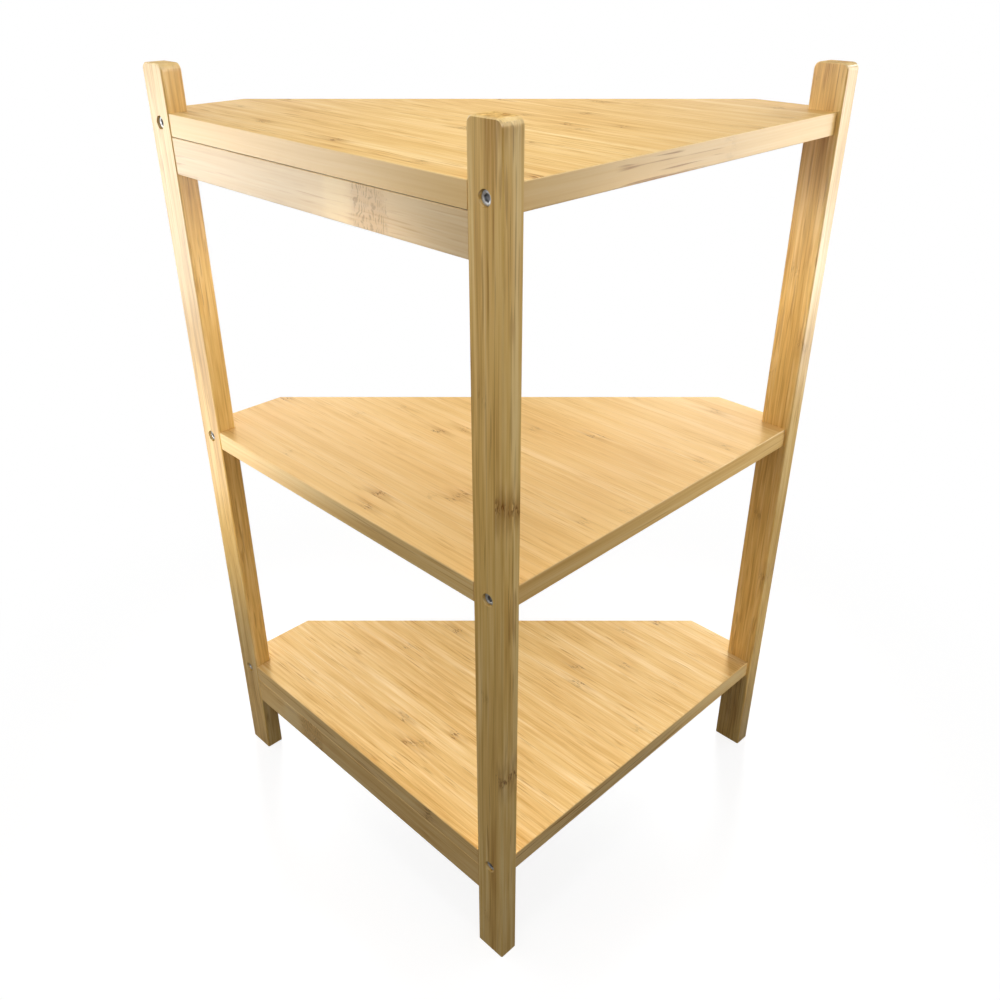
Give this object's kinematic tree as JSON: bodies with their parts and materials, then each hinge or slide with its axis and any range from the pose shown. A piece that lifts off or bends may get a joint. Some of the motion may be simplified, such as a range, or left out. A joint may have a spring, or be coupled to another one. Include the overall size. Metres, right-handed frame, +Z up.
{
  "type": "corner shelf",
  "caption": "Free-standing bamboo corner shelf: slim rectangular posts in notched shelves with a cut-off front corner, rails along one wall side, and recessed hex screws.",
  "frame": {"origin": "on the floor, at the middle of the unit's box", "axes": "+Z up; +Y towards the wall behind the rails; -X towards the other wall; the cut-off corner faces +X and -Y"},
  "size_m": [0.34, 0.3376, 0.6],
  "materials": {
    "bamboo_post": "satin lacquer, upright grain",
    "bamboo_shelf": "satin lacquer, laminated strips",
    "bamboo_rail": "satin lacquer, grain along the rail",
    "screw_steel": "bright zinc plating",
    "dowel_wood": "plain, unfinished"
  },
  "bodies": {
    "root": {"corner_post": "bamboo_post", "rail_post": "bamboo_post", "side_post": "bamboo_post", "bottom_shelf": "bamboo_shelf", "middle_shelf": "bamboo_shelf", "top_shelf": "bamboo_shelf", "top_rail": "bamboo_rail", "bottom_rail": "bamboo_rail", "screw_corner_bottom": "screw_steel", "screw_corner_middle": "screw_steel", "screw_corner_top": "screw_steel", "screw_rail_bottom": "screw_steel", "screw_rail_middle": "screw_steel", "screw_rail_top": "screw_steel", "screw_side_bottom": "screw_steel", "screw_side_middle": "screw_steel", "screw_side_top": "screw_steel", "dowel_top_corner_upper": "dowel_wood", "dowel_top_corner_lower": "dowel_wood", "dowel_top_rail_upper": "dowel_wood", "dowel_top_rail_lower": "dowel_wood", "dowel_bottom_corner_upper": "dowel_wood", "dowel_bottom_corner_lower": "dowel_wood", "dowel_bottom_rail_upper": "dowel_wood", "dowel_bottom_rail_lower": "dowel_wood"}
  },
  "joints": []
}
